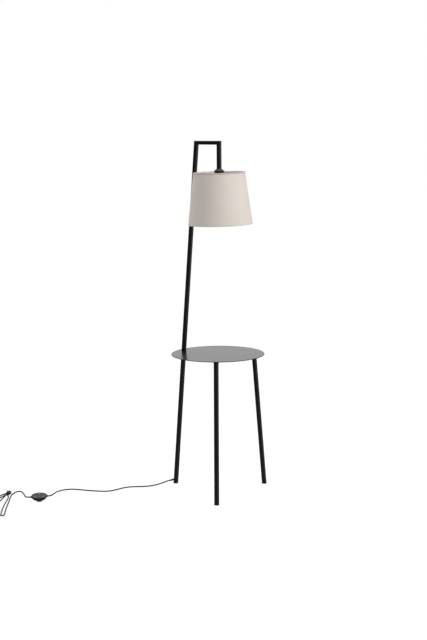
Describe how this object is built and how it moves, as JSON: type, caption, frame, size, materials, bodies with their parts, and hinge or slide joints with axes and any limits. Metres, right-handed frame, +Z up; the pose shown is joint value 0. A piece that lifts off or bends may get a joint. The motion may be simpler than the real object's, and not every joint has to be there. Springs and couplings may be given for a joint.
{
  "type": "floor lamp",
  "caption": "Tripod floor lamp with a round steel table top, a leaning mast that ends in a square hook, a tapered fabric shade and a foot switch in its lead.",
  "frame": {"origin": "middle of the lamp's footprint on the floor, measured without the lead", "axes": "+Z up from the floor, +X from the mast's foot towards the open side of the table, the crossbar runs along +X"},
  "size_m": [0.9584, 0.9943, 1.51],
  "materials": {
    "black_satin_metal": "satin black powder coat, fine and even",
    "zinc_steel": "bright zinc plated steel",
    "bare_steel": "plain steel",
    "black_plastic": "matte black moulding",
    "holder_plastic": "black lampholder moulding, slight shine",
    "white_insulator": "white heat-resistant insulator",
    "socket_brass": "pressed brass sheet",
    "white_wire": "white coated steel wire",
    "greige_linen": "greige linen weave laminated on film",
    "top_tape": "narrow fabric tape, slightly darker",
    "bottom_tape": "narrow fabric tape, slightly darker",
    "bulb_glass": "clear glass",
    "bulb_cap_metal": "bulb cap sheet",
    "filament_yellow": "yellow phosphor filaments",
    "lead_sheath": "black round lead sheath",
    "core_insulation": "core insulation",
    "lead_rubber": "black moulded strain relief and plug",
    "tie_plastic": "black twisted tie",
    "switch_black": "black moulding with a slight shine",
    "switch_base_grey": "dark grey matte base",
    "pin_metal": "nickel plated plug pins"
  },
  "bodies": {
    "lamp": {"table_top": "black_satin_metal", "rear_leg": "black_satin_metal", "front_leg": "black_satin_metal", "side_leg": "black_satin_metal", "rear_leg_flange": "black_satin_metal", "front_leg_flange": "black_satin_metal", "side_leg_flange": "black_satin_metal", "mast_tube": "black_satin_metal", "crossbar_tube": "black_satin_metal", "drop_tube": "black_satin_metal", "cone_cap": "black_satin_metal", "table_studs": "zinc_steel", "leg_washers": "zinc_steel", "leg_nuts": "zinc_steel", "mast_spigot": "bare_steel", "spigot_screw": "zinc_steel", "drop_insert": "bare_steel", "holder_nipple": "zinc_steel", "holder_nut": "zinc_steel", "rear_foot_glide": "black_plastic", "front_foot_glide": "black_plastic", "side_foot_glide": "black_plastic", "socket_dome": "holder_plastic", "socket_body": "holder_plastic", "shade_ring": "holder_plastic", "socket_core": "white_insulator", "socket_sleeve": "socket_brass", "socket_contacts": "socket_brass", "terminal_screws": "zinc_steel", "shade_carrier": "white_wire", "shade_bottom_ring": "white_wire", "shade_skin": "greige_linen", "shade_top_hem": "top_tape", "shade_bottom_hem": "bottom_tape", "inner_cable": "lead_sheath", "socket_wires": "core_insulation", "cord_relief": "lead_rubber", "cord_leg_to_switch": "lead_sheath", "cord_switch_to_hank": "lead_sheath", "cord_hank": "lead_sheath", "cord_tail": "lead_sheath", "hank_tie": "tie_plastic", "switch_housing": "switch_black", "switch_base": "switch_base_grey", "switch_spring": "bare_steel", "switch_module": "white_insulator", "switch_clamps": "black_plastic", "switch_screws": "zinc_steel", "switch_leads": "lead_sheath", "plug_body": "lead_rubber", "plug_pins": "pin_metal"},
    "button": {"switch_button": "switch_black"},
    "bulb": {"bulb_glass": "bulb_glass", "bulb_base": "bulb_cap_metal", "bulb_stem": "bulb_glass", "bulb_filaments": "filament_yellow"}
  },
  "joints": [
    {"name": "button_press", "type": "slide", "parent": "lamp", "child": "button", "axis": [0.045, -0.0706, 0.9965], "range_m": [0, 0.0025], "stiffness_N_per_m": 700, "springref_m": -0.002, "deforming": ["switch_spring"]},
    {"name": "bulb_turn", "type": "hinge", "parent": "lamp", "child": "bulb", "pos_m": [0.03114, 0, 1.3], "axis": [0, 0, 1], "continuous": true}
  ]
}
